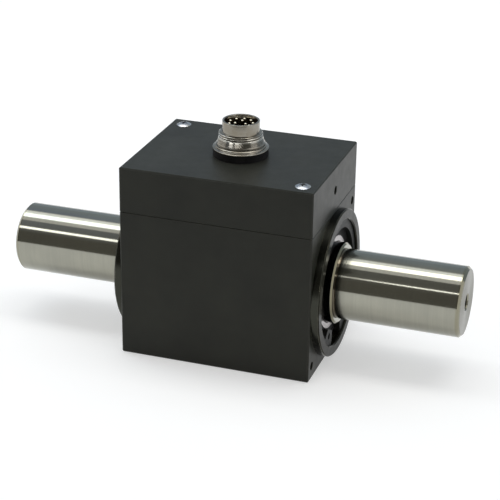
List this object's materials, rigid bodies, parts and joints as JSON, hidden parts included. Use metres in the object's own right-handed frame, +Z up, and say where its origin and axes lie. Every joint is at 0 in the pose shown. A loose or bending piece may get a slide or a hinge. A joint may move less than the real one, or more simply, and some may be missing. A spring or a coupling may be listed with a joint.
{
  "type": "rotary torque sensor",
  "caption": "Contactless rotary torque sensor: black block housing, a steel shaft with a plain stub at each end, and a round threaded connector on top.",
  "frame": {"origin": "centre of the housing's underside", "axes": "+X along the shaft towards the load side, +Z up through the connector, shaft axis 28 mm above the underside"},
  "size_m": [0.172, 0.056, 0.0861],
  "materials": {
    "black_anodised_aluminium": "satin black anodised",
    "ground_steel": "ground",
    "bearing_steel": "polished",
    "spring_steel": "phosphated spring steel",
    "black_rubber": "matt",
    "zinc_plated_steel": "zinc plated",
    "nickel_plated_brass": "nickel plated",
    "insulator": "moulded thermoset",
    "gold_plated_contact": "gold plated",
    "clear_anodised_aluminium": "turned",
    "enamelled_copper": "enamelled wire",
    "circuit_board": "solder mask",
    "component_body": "moulded",
    "gauge_foil": "polyimide film",
    "cage_polymer": "moulded polyamide"
  },
  "bodies": {
    "stator": {"stator_block": "black_anodised_aluminium", "electronics_hood": "black_anodised_aluminium", "hood_gasket": "black_rubber", "hood_screws": "zinc_plated_steel", "bearing_carrier_load": "black_anodised_aluminium", "bearing_carrier_drive": "black_anodised_aluminium", "retaining_ring_load": "spring_steel", "retaining_ring_drive": "spring_steel", "outer_ring_load": "bearing_steel", "outer_ring_drive": "bearing_steel", "bearing_seals_load": "black_rubber", "bearing_seals_drive": "black_rubber", "stator_coil_carrier": "clear_anodised_aluminium", "stator_winding": "enamelled_copper", "main_board": "circuit_board", "board_components": "component_body", "board_standoffs": "zinc_plated_steel", "board_screws": "zinc_plated_steel", "connector_seal": "black_rubber", "connector_shell": "nickel_plated_brass", "connector_insert": "insulator", "connector_pins": "gold_plated_contact", "connector_nut": "nickel_plated_brass"},
    "rotor": {"rotor_shaft": "ground_steel", "inner_ring_load": "bearing_steel", "inner_ring_drive": "bearing_steel", "rotor_coil_carrier": "clear_anodised_aluminium", "rotor_winding": "enamelled_copper", "rotor_board": "circuit_board", "rotor_board_hub": "clear_anodised_aluminium", "rotor_chips": "component_body", "strain_gauges": "gauge_foil"},
    "cage_load": {"ball_cage_load": "cage_polymer", "bearing_balls_load": "bearing_steel"},
    "cage_drive": {"ball_cage_drive": "cage_polymer", "bearing_balls_drive": "bearing_steel"}
  },
  "joints": [
    {"name": "rotor_spin", "type": "hinge", "parent": "stator", "child": "rotor", "pos_m": [0, 0, 0.028], "axis": [1, 0, 0], "continuous": true},
    {"name": "load_cage_spin", "type": "hinge", "parent": "stator", "child": "cage_load", "pos_m": [0, 0, 0.028], "axis": [1, 0, 0], "continuous": true},
    {"name": "drive_cage_spin", "type": "hinge", "parent": "stator", "child": "cage_drive", "pos_m": [0, 0, 0.028], "axis": [1, 0, 0], "continuous": true}
  ],
  "couplings": [
    {"joint": "load_cage_spin", "follows": "rotor_spin", "ratio": 0.42857},
    {"joint": "drive_cage_spin", "follows": "rotor_spin", "ratio": 0.42857}
  ]
}
